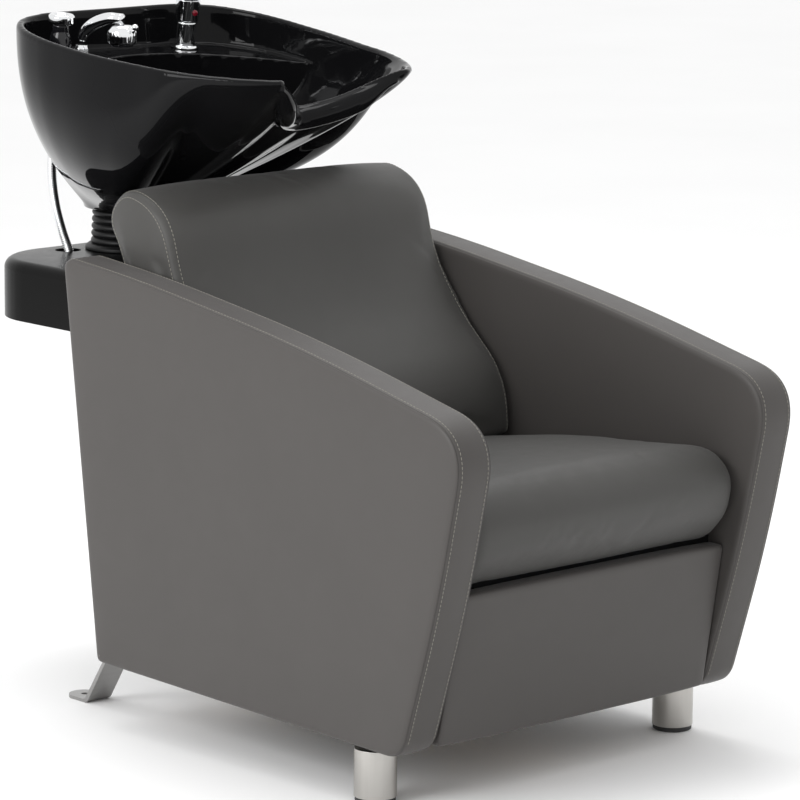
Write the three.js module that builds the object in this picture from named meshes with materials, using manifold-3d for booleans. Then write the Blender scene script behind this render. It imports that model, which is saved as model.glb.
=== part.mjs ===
// Shampoo backwash unit: upholstered armchair with a tilting ceramic basin on a rear service shelf.
// Millimetres, +Z up, the sitter faces -Y. Side profiles are drawn in (y, z), plans in (x, y).
// The lower dimensions are taken from the chair's own datum; ROW_SHIFT_Y then centres the footprint.
import * as THREE from 'three';
import { mergeVertices } from 'three/addons/utils/BufferGeometryUtils.js';
import Module from 'manifold-3d';

const wasm = await Module();
wasm.setup();

const ROW_SHIFT_Y = -152.5;
const GAP = 0.4;                 // between pieces that touch on the real object

// chair
const WIDTH = 660, ARM_THICK = 65.6, ARM_EDGE = 5;
const INNER_HALF = WIDTH / 2 - ARM_THICK;      // half the clear width between the arms
const CUSHION_HALF = INNER_HALF - 1.6;
const PANEL_THICK = 22, REAR_PANEL_THICK = 16;

// side profiles: [y, z, distance over which the corner is rounded]
const ARM_PROFILE = [[-334, 78, 34], [322, 95, 10], [396, 687, 22], [232, 672, 90],
  [-120, 621, 150], [-455, 545, 78], [-404, 305, 100]];
const SEAT_PROFILE = [[-364, 312, 14], [-400, 352, 20], [-411, 408, 26], [-372, 446, 26],
  [-120, 428, 80], [150, 384, 20], [150, 312, 14]];
const BACK_PROFILE = [[52, 402, 10], [62, 492, 55], [206, 622, 80], [250, 772, 62], [345, 793, 32],
  [385, 746, 28], [352, 676, 30], [303, 570, 30], [176, 390, 12]];

// feet
const LEG_X = 296.6, LEG_Y = -249.5, LEG_R = 30, LEG_WALL = 2, LEG_TOP = 76, GLIDE_H = 7;
const BRACKET_X = 238, BRACKET_W = 45;
const BRACKET_PROFILE = [[430, 0, 7], [487, 0, 0.4], [487, 5, 0.4], [435, 5, 6], [373, 99.2, 8],
  [272, 99.2, 0.4], [272, 94.2, 0.4], [370, 94.2, 8]];
const BRACKET_BOLT_Y = 462, BRACKET_BOLT_R = 5.5;

// timber and steel frame inside the upholstery
const SEAT_BOARD_Z = [296, 311.5], SEAT_BOARD_Y = [-345, 148];
const BACK_BOARD_PROFILE = [[178, 390, 1], [192, 387, 1], [318, 566, 6], [321, 583, 1], [311, 586, 1],
  [304.5, 570, 2]];
const RAIL_DEPTH = 28, RAIL_BOTTOM = 99.6, FRONT_RAIL_Y = -318, REAR_RAIL_Y = 270;
const FRONT_RAIL_TOP = 132, REAR_RAIL_TOP = 144, CENTRE_RAIL_HALF = 20;
const POST_X = 110, POST_HALF = 14, POST_TOP = 585, POST_RAKE = 59;

// rear service shelf
const SHELF_HALF = 221, SHELF_FRONT = 388, SHELF_REAR = 747, SHELF_CORNER = 112;
const SHELF_Z = [550, 640], SHELF_WALL = 4, SHELF_EDGE = 15;
const HOSE_HOLE = [-84, 690], HOSE_HOLE_R = 20, TOWER_HOLE_R = 52;
const PLATE_SLOT_Z = [585, 603], DRAIN_SLOT_HALF = 22, DRAIN_SLOT_Z = [500, 566];

// pedestal and tilt hinge
const PIVOT = [0, 650, 672];
const PLATE_Z = [590, 598], PLATE_HALF = 60;
const EAR_X = [27, 21], EAR_T = 5, EAR_HALF = 17;
const HINGE_BORE_R = 6.05, HINGE_BOLT_R = 6;

// basin: rim outline from the rear centre to the neck, then the dip that the neck rests in
const RIM_PLAN = [[0, 697], [68, 698], [134, 695], [193, 671], [229, 621], [244, 562], [247, 505],
  [246, 452], [240, 400], [231, 350], [222, 300], [204, 250], [183, 210], [161, 178], [140, 157], [121, 148]];
const NECK_PLAN = [[96, 168], [60, 206], [30, 240], [0, 256]];
const NECK_DEPTH = 62, LIP_R = 13;
const FOOT = [0, 650, 705], FOOT_R = 66;
const WALL = 13, RIM_POINTS = 76, WALL_STEPS = 9;
const BASIN_FLOOR = [0, 575, 742], BASIN_FLOOR_R = 51, BASIN_MIDDLE_Y = 440;
const DECK_Z = 938, DECK_SLOPE = 0.11, DECK_FRONT = 632, DECK_CURVE = 0.0027, DECK_THICK = 12;
const DRAIN = [0, 604], DRAIN_R = 15;
const FAUCET = [118, 650], BREAKER = [-152, 624], HOLDER = [-122, 610];
const SPRAYER_PATH = [[-122, 606.6, 975], [-121, 598, 988], [-117, 580, 1000], [-110, 555, 1009],
  [-103, 533, 1009]];
const HEAD = [-105, 531, 972], HEAD_H = 30;    // middle of the spray head's lower face, and its height
const HOSE_R = 7;
const LEAN = Math.atan(DECK_SLOPE);            // fittings stand square to the sloping deck

const SIDES = [['left', -1], ['right', 1]];
const parts = [];

// ---------- helpers ----------
const v3 = (x, y, z) => new THREE.Vector3(x, y, z);

// turns a (y, z) drawing extruded along +Z into one extruded along +X
const SIDE_TO_ROW = new THREE.Matrix4().makeBasis(v3(0, 1, 0), v3(0, 0, 1), v3(1, 0, 0));

function add(name, geometry, colour) {
  const material = new THREE.MeshStandardMaterial({ color: colour, name });
  const mesh = new THREE.Mesh(geometry, material);
  mesh.name = name;
  parts.push(mesh);
  return mesh;
}

function toSolid(geometry) {
  const bare = geometry.clone();
  for (const key of ['normal', 'uv']) bare.deleteAttribute(key);
  const welded = mergeVertices(bare, 1e-3);
  const mesh = new wasm.Mesh({
    numProp: 3,
    vertProperties: new Float32Array(welded.attributes.position.array),
    triVerts: new Uint32Array(welded.index.array),
  });
  mesh.merge();
  return new wasm.Manifold(mesh);
}

function toGeometry(solid) {
  const mesh = solid.getMesh();
  const geometry = new THREE.BufferGeometry();
  geometry.setAttribute('position', new THREE.BufferAttribute(mesh.vertProperties, 3));
  geometry.setIndex(new THREE.BufferAttribute(mesh.triVerts, 1));
  geometry.computeVertexNormals();
  return geometry;
}

const cut = (base, ...tools) => toGeometry(tools.reduce((s, t) => s.subtract(toSolid(t)), toSolid(base)));
const join = (base, ...more) => toGeometry(more.reduce((s, t) => s.add(toSolid(t)), toSolid(base)));

function box([x0, x1], [y0, y1], [z0, z1]) {
  return new THREE.BoxGeometry(x1 - x0, y1 - y0, z1 - z0)
    .translate((x0 + x1) / 2, (y0 + y1) / 2, (z0 + z1) / 2);
}

function rod(radius, z0, z1, [x, y], sides = 32, topRadius = radius) {
  return new THREE.CylinderGeometry(topRadius, radius, z1 - z0, sides)
    .rotateX(Math.PI / 2).translate(x, y, (z0 + z1) / 2);
}

// solid of revolution about +Z from [r, z] points that start and end on the axis, or close on themselves
function turned(profile, sides = 40) {
  const points = profile.map(([r, z]) => new THREE.Vector2(r, z));
  return new THREE.LatheGeometry(points, sides).rotateX(Math.PI / 2);
}

// polygon with each corner rounded over a given distance
function roundedShape(corners) {
  const shape = new THREE.Shape();
  corners.forEach(([x, y, round], i) => {
    const at = new THREE.Vector2(x, y);
    const before = new THREE.Vector2(...corners.at(i - 1)).sub(at).setLength(round).add(at);
    const after = new THREE.Vector2(...corners[(i + 1) % corners.length]).sub(at).setLength(round).add(at);
    if (i === 0) shape.moveTo(before.x, before.y);
    else shape.lineTo(before.x, before.y);
    shape.quadraticCurveTo(x, y, after.x, after.y);
  });
  shape.closePath();
  return shape;
}

// a (y, z) side profile made solid between x0 and x1, with its edges rounded by `edge`
function slab(corners, x0, x1, edge, { segments = 2, curve = 6 } = {}) {
  const bevel = edge > 0
    ? { bevelEnabled: true, bevelThickness: edge, bevelSize: edge, bevelOffset: -edge,
        bevelSegments: segments }
    : { bevelEnabled: false };
  const geometry = new THREE.ExtrudeGeometry(roundedShape(corners),
    { depth: x1 - x0 - 2 * edge, steps: 1, curveSegments: curve, ...bevel });
  geometry.translate(0, 0, edge);
  return geometry.applyMatrix4(SIDE_TO_ROW).translate(x0, 0, 0);
}

// constant round section swept along points
function sweep(points, radius, { sides = 10, steps = 24 } = {}) {
  const section = new THREE.Shape();
  section.absarc(0, 0, radius, 0, 2 * Math.PI);
  const path = new THREE.CatmullRomCurve3(points.map((p) => v3(...p)), false, 'centripetal');
  return new THREE.ExtrudeGeometry(section,
    { extrudePath: path, steps, curveSegments: sides / 2, bevelEnabled: false });
}

// closed skin through a stack of rings with equal point counts, capped at both ends
function loft(rings) {
  const count = rings[0].length;
  const positions = rings.flat().flatMap((p) => [p.x, p.y, p.z]);
  const index = [];
  for (let r = 0; r + 1 < rings.length; r += 1) {
    for (let i = 0; i < count; i += 1) {
      const a = r * count + i, b = r * count + ((i + 1) % count);
      index.push(a, b, b + count, a, b + count, a + count);
    }
  }
  [[0, -1], [rings.length - 1, 1]].forEach(([r, side]) => {
    const centre = rings[r].reduce((s, p) => s.clone().add(p), v3(0, 0, 0)).divideScalar(count);
    const hub = positions.length / 3;
    positions.push(centre.x, centre.y, centre.z);
    for (let i = 0; i < count; i += 1) {
      const a = r * count + i, b = r * count + ((i + 1) % count);
      index.push(hub, ...(side > 0 ? [a, b] : [b, a]));
    }
  });
  const geometry = new THREE.BufferGeometry();
  geometry.setAttribute('position', new THREE.Float32BufferAttribute(positions, 3));
  geometry.setIndex(index);
  return geometry;
}

// ---------- chair ----------
function chairShell() {
  const half = WIDTH / 2;
  add('arm_left', slab(ARM_PROFILE, -half, -INNER_HALF, ARM_EDGE), '#66635e');
  add('arm_right', slab(ARM_PROFILE, INNER_HALF, half, ARM_EDGE), '#66635e');
  add('seat_cushion', slab(SEAT_PROFILE, -CUSHION_HALF, CUSHION_HALF, 0), '#5a5755');
  add('back_cushion', slab(BACK_PROFILE, -CUSHION_HALF, CUSHION_HALF, 0), '#54524f');
  const front = [[-342, 88, 5], [-342 + PANEL_THICK, 88, 3], [-371 + PANEL_THICK, 303, 3], [-377, 303, 9]];
  const fascia = slab(front, -INNER_HALF + GAP, INNER_HALF - GAP, 2, { segments: 1, curve: 4 });
  add('front_panel', fascia, '#55504f');
}

function chairFrame() {
  const inner = [-INNER_HALF + GAP, INNER_HALF - GAP];
  add('seat_board', box(inner, SEAT_BOARD_Y, SEAT_BOARD_Z), '#b99a6b');
  add('back_board', slab(BACK_BOARD_PROFILE, ...inner, 0, { curve: 2 }), '#b99a6b');
  const t = REAR_PANEL_THICK;
  const rear = [[388, 662, 3], [388 - t, 662, 3], [318 - t, 100, 3], [318, 100, 3]];
  add('rear_panel', cut(slab(rear, ...inner, 0, { curve: 2 }), ...shelfSlots([300, 420])), '#4e4b49');
  const rail = (y, top) => box(inner, [y, y + RAIL_DEPTH], [RAIL_BOTTOM, top]);
  add('front_rail', rail(FRONT_RAIL_Y, FRONT_RAIL_TOP), '#a5845a');
  add('rear_rail', rail(REAR_RAIL_Y, REAR_RAIL_TOP), '#a5845a');
  add('centre_rail', box([-CENTRE_RAIL_HALF, CENTRE_RAIL_HALF],
    [FRONT_RAIL_Y + RAIL_DEPTH + GAP, REAR_RAIL_Y - GAP], [RAIL_BOTTOM, FRONT_RAIL_TOP]), '#a5845a');
  const low = REAR_RAIL_TOP + GAP, y = REAR_RAIL_Y;
  const post = [[y, low, 0.5], [y + RAIL_DEPTH, low, 0.5], [y + POST_RAKE + RAIL_DEPTH, POST_TOP, 0.5],
    [y + POST_RAKE, POST_TOP, 0.5]];
  for (const [side, s] of SIDES) {
    const x = s * POST_X;
    add(`frame_post_${side}`, slab(post, x - POST_HALF, x + POST_HALF, 0, { curve: 1 }), '#3c3d3f');
  }
}

// where the pedestal plate and the drain hose pass from the chair into the shelf
function shelfSlots(depth) {
  return [box([-PLATE_HALF - 4, PLATE_HALF + 4], depth, PLATE_SLOT_Z),
    box([-DRAIN_SLOT_HALF, DRAIN_SLOT_HALF], depth, DRAIN_SLOT_Z)];
}

function feet() {
  for (const [side, s] of SIDES) {
    const at = [s * LEG_X, LEG_Y];
    const tube = turned([[LEG_R - LEG_WALL, GLIDE_H + GAP], [LEG_R, GLIDE_H + GAP], [LEG_R, LEG_TOP],
      [LEG_R - LEG_WALL, LEG_TOP], [LEG_R - LEG_WALL, GLIDE_H + GAP]], 36).translate(...at, 0);
    add(`leg_${side}`, tube, '#b9b6b0');
    const glide = turned([[0, 0], [LEG_R - 4, 0], [LEG_R - 1.5, 1.5], [LEG_R - 1.5, GLIDE_H],
      [LEG_R - 4, GLIDE_H], [LEG_R - 4, 20], [0, 20]], 36).translate(...at, 0);
    add(`glide_${side}`, glide, '#1b1b1b');
  }
}

// bent steel straps; the foot end is rounded in plan and has a hole for a floor bolt
function floorBrackets() {
  const half = BRACKET_W / 2, front = 280, round = BRACKET_PROFILE[1][0] - half;
  const plan = new THREE.Shape();
  plan.moveTo(-half, front).lineTo(half, front).lineTo(half, round);
  plan.absarc(0, round, half, 0, Math.PI).lineTo(-half, front);
  for (const [side, s] of SIDES) {
    const x = s * BRACKET_X;
    const strap = toSolid(slab(BRACKET_PROFILE, x - half, x + half, 0, { curve: 4 }));
    const outline = new THREE.ExtrudeGeometry(plan, { depth: 160, bevelEnabled: false, curveSegments: 12 });
    const hole = rod(BRACKET_BOLT_R, -5, 12, [x, BRACKET_BOLT_Y], 20);
    const rounded = strap.intersect(toSolid(outline.translate(x, 0, -5)));
    add(`rear_bracket_${side}`, toGeometry(rounded.subtract(toSolid(hole))), '#a9a7a2');
  }
}

// ---------- rear service shelf and pedestal ----------
function shelfOutline(inset) {
  const half = SHELF_HALF - inset, rear = SHELF_REAR - inset, r = SHELF_CORNER - inset;
  const shape = new THREE.Shape();
  shape.moveTo(-half, SHELF_FRONT + inset).lineTo(half, SHELF_FRONT + inset).lineTo(half, rear - r);
  shape.absarc(half - r, rear - r, r, 0, Math.PI / 2).lineTo(-half + r, rear);
  shape.absarc(-half + r, rear - r, r, Math.PI / 2, Math.PI);
  shape.closePath();
  return shape;
}

function serviceShelf() {
  const [low, high] = SHELF_Z;
  const outer = new THREE.ExtrudeGeometry(shelfOutline(0), { depth: high - low, curveSegments: 10,
    bevelEnabled: true, bevelThickness: SHELF_EDGE, bevelSize: SHELF_EDGE, bevelOffset: -SHELF_EDGE,
    bevelSegments: 4 }).translate(0, 0, low - SHELF_EDGE);
  const inside = new THREE.ExtrudeGeometry(shelfOutline(SHELF_WALL), { depth: 200, curveSegments: 10,
    bevelEnabled: true, bevelThickness: SHELF_EDGE - 2, bevelSize: SHELF_EDGE - 2,
    bevelOffset: 2 - SHELF_EDGE, bevelSegments: 4 })
    .translate(0, 0, high - SHELF_WALL - 200 - (SHELF_EDGE - 2));
  const below = box([-300, 300], [300, 800], [low - 100, low]);
  const tower = rod(TOWER_HOLE_R, high - 40, high + 20, PIVOT, 36);
  const hose = rod(HOSE_HOLE_R, high - 40, high + 20, HOSE_HOLE, 28);
  add('service_shelf', cut(outer, below, inside, ...shelfSlots([380, 400]), tower, hose), '#1d1c1c');
}

const hingeBore = ([x, y, z]) => new THREE.CylinderGeometry(HINGE_BORE_R, HINGE_BORE_R, 120, 32)
  .rotateZ(Math.PI / 2).translate(x, y, z);

// a pair of hinge ears: a flat cheek between two heights and a round eye about the pivot
function ears(offset, half, low, high) {
  const [, y, z] = PIVOT;
  return [-1, 1].flatMap((s) => {
    const at = s * (offset + EAR_T / 2);
    return [box([at - EAR_T / 2, at + EAR_T / 2], [y - half, y + half], [low, high]),
      new THREE.CylinderGeometry(half, half, EAR_T, 32).rotateZ(Math.PI / 2).translate(at, y, z)];
  });
}

function pedestal() {
  const [x, y, z] = PIVOT, [low, high] = PLATE_Z;
  const plate = box([-PLATE_HALF, PLATE_HALF], [318, 715], PLATE_Z);
  add('pedestal_plate', cut(plate, rod(24, low - 10, high + 12, [x, y], 28)), '#3c3d3f');
  const corners = [[350, 440], [700, low - GAP], [358, low - GAP]];
  const rib = new THREE.Shape(corners.map((p) => new THREE.Vector2(...p)));
  for (const [side, s] of SIDES) {
    const web = new THREE.ExtrudeGeometry(rib, { depth: EAR_T, bevelEnabled: false })
      .applyMatrix4(SIDE_TO_ROW).translate(s * 45 - EAR_T / 2, 42, 0);
    add(`pedestal_rib_${side}`, web, '#3c3d3f');
  }
  const base = box([-42, 42], [y - 32, y + 32], [high + GAP, high + 6]);
  const yoke = join(base, ...ears(EAR_X[0], EAR_HALF, high + 3, z));
  add('tilt_yoke', cut(yoke, hingeBore(PIVOT), rod(20, low - 10, high + 22, [x, y], 28)), '#2f3032');
}

function bellows() {
  const [x, y] = PIVOT;
  const seat = SHELF_Z[1] + GAP;
  const ring = turned([[51, seat], [64, seat], [64, 646], [60, 649], [51, 649], [51, seat]], 40);
  add('bellows_ring', ring.translate(x, y, 0), '#141414');
  const outer = [], inner = [], folds = 5, low = 650, high = 698;
  for (let i = 0; i <= folds * 2; i += 1) {
    const z = low + (high - low) * i / (folds * 2);
    const r = (i % 2 ? 57 : 49) - 4 * i / (folds * 2);
    outer.push([r, z]);
    inner.unshift([r - 2.5, z]);
  }
  add('bellows', turned([...outer, ...inner, outer[0]], 30).translate(x, y, 0), '#161616');
}

// ---------- basin ----------
const rimHeight = (y) => 946 + 0.045 * (y - 155) + 1.1e-4 * (y - 155) ** 2;

// the rim as a closed ring of points: half outline, then its mirror image
function rimRing(count) {
  const neckStart = RIM_PLAN.at(-1)[0];
  const half = [...RIM_PLAN, ...NECK_PLAN].map(([x, y]) => v3(x, y, 0));
  const mirrored = half.slice(1, -1).reverse().map((p) => v3(-p.x, p.y, 0));
  const curve = new THREE.CatmullRomCurve3([...half, ...mirrored], true, 'centripetal');
  const points = curve.getSpacedPoints(count).slice(0, count);
  return points.map((p) => {
    const inNeck = p.y < NECK_PLAN.at(-1)[1] + 6 && Math.abs(p.x) < neckStart;
    const dip = inNeck ? NECK_DEPTH * (0.5 + 0.5 * Math.cos(Math.PI * Math.abs(p.x) / neckStart)) ** 0.7 : 0;
    return v3(p.x, p.y, rimHeight(p.y) - dip);
  });
}

const smooth = (a, b, t) => {
  const u = Math.min(1, Math.max(0, (t - a) / (b - a)));
  return u * u * (3 - 2 * u);
};

const nearNeck = (y) => 1 - smooth(220, 400, y);

// the outer wall falls steeply at the sides and rear, and runs in a straight slope under the neck
function outerRings(rim, steps) {
  const [fx, fy, fz] = FOOT;
  return Array.from({ length: steps + 1 }, (_, k) => {
    const t = k / steps;
    return rim.map((p) => {
      const power = 3.9 - 2.65 * nearNeck(p.y) - 1.5 * smooth(430, 640, p.y);
      const angle = Math.atan2(p.y - fy, p.x - fx);
      const foot = v3(fx + FOOT_R * Math.cos(angle), fy + FOOT_R * Math.sin(angle), fz);
      const keep = 1 - t ** power;
      return v3(foot.x + (p.x - foot.x) * keep, foot.y + (p.y - foot.y) * keep, p.z + (foot.z - p.z) * t);
    });
  });
}

// moves each point of a ring towards the middle of the basin
function inwards(ring, distance) {
  return ring.map((p) => {
    const d = v3(-p.x, BASIN_MIDDLE_Y - p.y, 0).setLength(distance);
    return v3(p.x + d.x, p.y + d.y, p.z);
  });
}

function innerRings(rim, steps) {
  const mouth = inwards(rim, WALL);
  const [fx, fy, fz] = BASIN_FLOOR;
  const rings = [mouth.map((p) => v3(p.x, p.y, p.z + 40))];
  for (let k = 0; k <= steps; k += 1) {
    const t = k / steps;
    rings.push(mouth.map((p) => {
      const power = 2.8 - 1.6 * nearNeck(p.y) - 0.2 * smooth(430, 640, p.y);
      const angle = Math.atan2(p.y - fy, p.x - fx);
      const foot = v3(fx + BASIN_FLOOR_R * Math.cos(angle), fy + BASIN_FLOOR_R * Math.sin(angle), fz);
      const keep = 1 - t ** power;
      return v3(foot.x + (p.x - foot.x) * keep, foot.y + (p.y - foot.y) * keep, p.z + (foot.z - p.z) * t);
    }));
  }
  return rings;
}

const deckHeight = (y) => DECK_Z + DECK_SLOPE * (y - 600);

// a block behind the deck's curved front edge, its top parallel to the sloping deck
function deckBlock(top, front, depth) {
  const reach = 260, outline = new THREE.Shape();
  outline.moveTo(reach, 760).lineTo(-reach, 760);
  for (let x = -reach; x <= reach; x += 26) outline.lineTo(x, front - DECK_CURVE * x * x);
  outline.closePath();
  const block = new THREE.ExtrudeGeometry(outline, { depth, bevelEnabled: false }).translate(0, 0, -depth);
  const shear = new THREE.Matrix4()
    .set(1, 0, 0, 0, 0, 1, 0, 0, 0, DECK_SLOPE, 1, top - DECK_SLOPE * 600, 0, 0, 0, 1);
  return block.applyMatrix4(shear);
}

function basin() {
  const rim = rimRing(RIM_POINTS);
  const outer = toSolid(loft(outerRings(rim, WALL_STEPS)));
  const hollow = toSolid(loft(innerRings(rim, WALL_STEPS)));
  const inset = toSolid(loft(outerRings(inwards(rim, WALL), WALL_STEPS)));
  const pocket = toSolid(deckBlock(DECK_Z - DECK_THICK, DECK_FRONT + 10, 190)).intersect(inset);
  let bowl = outer.subtract(hollow.subtract(toSolid(deckBlock(DECK_Z, DECK_FRONT, 260)))).subtract(pocket);
  bowl = bowl.add(toSolid(sweep(neckLip(), LIP_R, { sides: 12, steps: 24 })));
  const holes = [
    ...[[FAUCET, 14], [BREAKER, 9], [HOLDER, 10.5]]
      .map(([at, r]) => standOnDeck(rod(r, -40, 20, [0, 0], 24), at)),
    rod(DRAIN_R, 700, 800, DRAIN, 28),
    box([-26, 26], [584, 690], [695, 731]),        // recess in the foot for the drain bend
    box([-142, -70], [664, 740], [772, 880]),      // port in the rear wall for the spray hose
  ];
  bowl = holes.reduce((solid, hole) => solid.subtract(toSolid(hole)), bowl);
  add('bowl', toGeometry(bowl), '#0b0b0c');
}

function neckLip() {
  const [reach] = RIM_PLAN.at(-1), rear = NECK_PLAN.at(-1)[1] + 6;
  const ring = rimRing(RIM_POINTS).filter((p) => p.y < rear && Math.abs(p.x) < reach);
  return ring.sort((a, b) => a.x - b.x).filter((_, i) => i % 2 === 0).map((p) => [p.x, p.y + 5, p.z - 11]);
}

function bowlBracket() {
  const [x, y, z] = PIVOT, top = FOOT[2] - GAP;
  const plate = box([-33, 33], [y - 36, y + 36], [top - 6, top]);
  const cheeks = ears(EAR_X[1], EAR_HALF - 3, z, top - 2);
  const drainWay = box([-17, 17], [500, y + 20], [690, 720]);
  add('bowl_bracket', cut(join(plate, ...cheeks), hingeBore(PIVOT), drainWay), '#2f3032');
  for (const [side, s] of SIDES) {
    const bolt = turned([[0, 0], [HINGE_BOLT_R, 0], [HINGE_BOLT_R, 12.2], [10, 12.2], [10, 18], [0, 18]], 32);
    add(`hinge_bolt_${side}`, bolt.rotateY(s * Math.PI / 2).translate(s * (EAR_X[1] - GAP), y, z), '#8d8e90');
  }
}

// ---------- drain ----------
// lift-out strainer: slotted plate with a raised rim, a stem and a slotted guide in the drain hole
function strainer([x, y], floor) {
  const slots = Array.from({ length: 6 }, (_, i) => rod(1.7, floor - 20, floor + 20,
    [x + 5.6 * Math.cos(i * Math.PI / 3), y + 5.6 * Math.sin(i * Math.PI / 3)], 10));
  const grid = turned([[0, 0], [9.5, 0], [9.5, 2.2], [0, 2.2]], 28).translate(x, y, floor + 4);
  const rim = turned([[8.8, 0], [12.5, 0], [12.5, 2.6], [8.8, 2.6], [8.8, 0]], 28)
    .translate(x, y, floor + 3.8);
  const guide = turned([[0, 0], [10.2, 0], [10.2, 2], [0, 2]], 28).translate(x, y, floor - 16);
  const stem = rod(2, floor - 14.5, floor + 5, [x, y], 16);
  return join(cut(join(grid, rim), ...slots), stem, cut(guide, ...slots));
}

function drain() {
  const [x, y] = DRAIN, [, outletY] = PIVOT, floor = BASIN_FLOOR[2];
  const flange = turned([[11, 0], [21, 0], [20, 2.5], [13, 3], [11, 1], [11, 0]], 36);
  add('drain_flange', flange.translate(x, y, floor + GAP), '#c9c9c9');
  add('drain_strainer', strainer(DRAIN, floor), '#bdbdbd');
  const bend = [[x, y, floor - 18], [x, y, 724], [x, 622, 704], [x, 645, 690], [x, outletY, 674],
    [x, outletY, 655]];
  add('drain_tailpiece', sweep(bend, 12, { sides: 14, steps: 16 }), '#3a3a3a');
  const hose = [[x, outletY, 652], [x, outletY, 600], [x, 638, 566], [x, 600, 545], [x, 520, 541],
    [x, 400, 541], [x, 356, 536], [x, 335, 505], [x, 322, 440], [x, 284, 170]];
  add('drain_hose', sweep(hose, 14.5, { sides: 10, steps: 28 }), '#55575a');
}

// ---------- fittings on the deck, each built upright at the origin and then stood on the deck ----------
function standOnDeck(geometry, [x, y]) {
  return geometry.rotateX(LEAN).translate(x, y, deckHeight(y) + GAP);
}

function mixer() {
  const flange = turned([[0, 0], [22, 0], [22, 2.5], [19, 5], [0, 5]], 40);
  const shank = turned([[0, -30], [12, -30], [12, 2], [0, 2]], 28);
  add('mixer_flange', standOnDeck(join(flange, shank), FAUCET), '#c4c4c6');
  const nut = turned([[14.2, -22], [21, -22], [21, -14.5], [14.2, -14.5], [14.2, -22]], 6);
  add('mixer_nut', standOnDeck(nut, FAUCET), '#9a8550');
  const column = turned([[0, 5.4], [15, 5.4], [15, 41], [17, 43], [19.5, 76], [0, 76]], 40);
  add('mixer_body', standOnDeck(column, FAUCET), '#c8c8ca');
  const button = turned([[0, 0], [4.6, 0], [4.6, 1.2], [2.5, 2.2], [0, 2.4]], 20).rotateX(Math.PI / 2);
  add('mixer_index_button', standOnDeck(button.translate(0, -18.4, 57), FAUCET), '#7a1220');
  const cap = turned([[0, 76.4], [19.5, 76.4], [20.5, 86], [17, 100], [10, 104], [0, 104]], 40);
  add('mixer_cap', standOnDeck(cap, FAUCET), '#c8c8ca');
  const blade = [[16, 104.6, 2], [16, 110, 3], [2, 118, 8], [-92, 128, 4], [-93, 122, 2], [-14, 104.6, 8]];
  const lever = slab(blade, -10, 10, 0, { curve: 4 });
  add('mixer_lever', standOnDeck(lever, FAUCET), '#c8c8ca');
}

function vacuumBreaker() {
  const body = turned([[0, 0], [17.5, 0], [17.5, 26], [15, 40], [12.5, 46], [12.5, 58], [0, 58]], 36);
  const shank = turned([[0, -28], [8, -28], [8, 2], [0, 2]], 24);
  add('breaker_body', standOnDeck(join(body, shank), BREAKER), '#2a2a2d');
  const cap = turned([[0, 58.4], [18.5, 58.4], [19.7, 61], [19.7, 70], [17.5, 73], [0, 73]], 36);
  add('breaker_cap', standOnDeck(cap, BREAKER), '#d5d7d9');
}

function sprayer() {
  const guide = turned([[7.6, -24], [10, -24], [10, 0.2], [15, 0.2], [15, 4], [12, 7], [7.6, 7],
    [7.6, -24]], 28);
  add('hose_guide', standOnDeck(guide, HOLDER), '#c4c4c6');
  const nut = turned([[0, 8], [11, 8], [11, 22], [8.5, 27], [0, 27]], 24);
  add('sprayer_nut', standOnDeck(nut, HOLDER), '#9c9ca0');
  const tail = turned([[0, -70], [6.6, -70], [6.6, 7.6], [0, 7.6]], 16);
  add('sprayer_tail_hose', standOnDeck(tail, HOLDER), '#b4b4b8');
  add('sprayer_handle', sweep(SPRAYER_PATH, 7, { sides: 14, steps: 16 }), '#c8c8ca');
  const [x, y, z] = HEAD;
  const head = turned([[0, 0], [19, 0], [21.5, 3], [22.5, 12], [22, 20], [15, HEAD_H - 2],
    [0, HEAD_H - 1]], 36);
  add('sprayer_head', head.translate(x, y, z), '#c8c8ca');
  const face = turned([[0, -3], [16.5, -3], [17.5, -0.4], [0, -0.4]], 32);
  add('sprayer_face', face.translate(x, y, z), '#222223');
  const knob = new THREE.SphereGeometry(5, 14, 8).translate(x + 2, y - 28, z + 27);
  add('sprayer_knob', join(knob, sweep([[x, y - 25.6, z + 18.4], [x + 2, y - 28, z + 26]], 2.2,
    { sides: 10, steps: 2 })), '#c8c8ca');
}

function sprayHose() {
  const hx = HOLDER[0];
  const path = [[-84, 676, 604], [-85, 687, 640], [-90, 697, 671], [-97, 704, 712], [-105, 702, 760],
    [-114, 686, 802], [hx + 1, 655, 836], [hx, 622, 858], [hx, 618, 868]];
  add('spray_hose', sweep(path, HOSE_R, { sides: 10, steps: 36 }), '#b4b4b8');
}

chairShell();
chairFrame();
feet();
floorBrackets();
serviceShelf();
pedestal();
bellows();
basin();
bowlBracket();
drain();
mixer();
vacuumBreaker();
sprayer();
sprayHose();

const group = new THREE.Group();
for (const mesh of parts) {
  mesh.geometry.translate(0, ROW_SHIFT_Y, 0);
  group.add(mesh);
}
export default group;
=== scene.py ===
import math

import bmesh
import bpy
import mathutils.geometry
import numpy as np
from mathutils import Matrix, Vector


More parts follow.
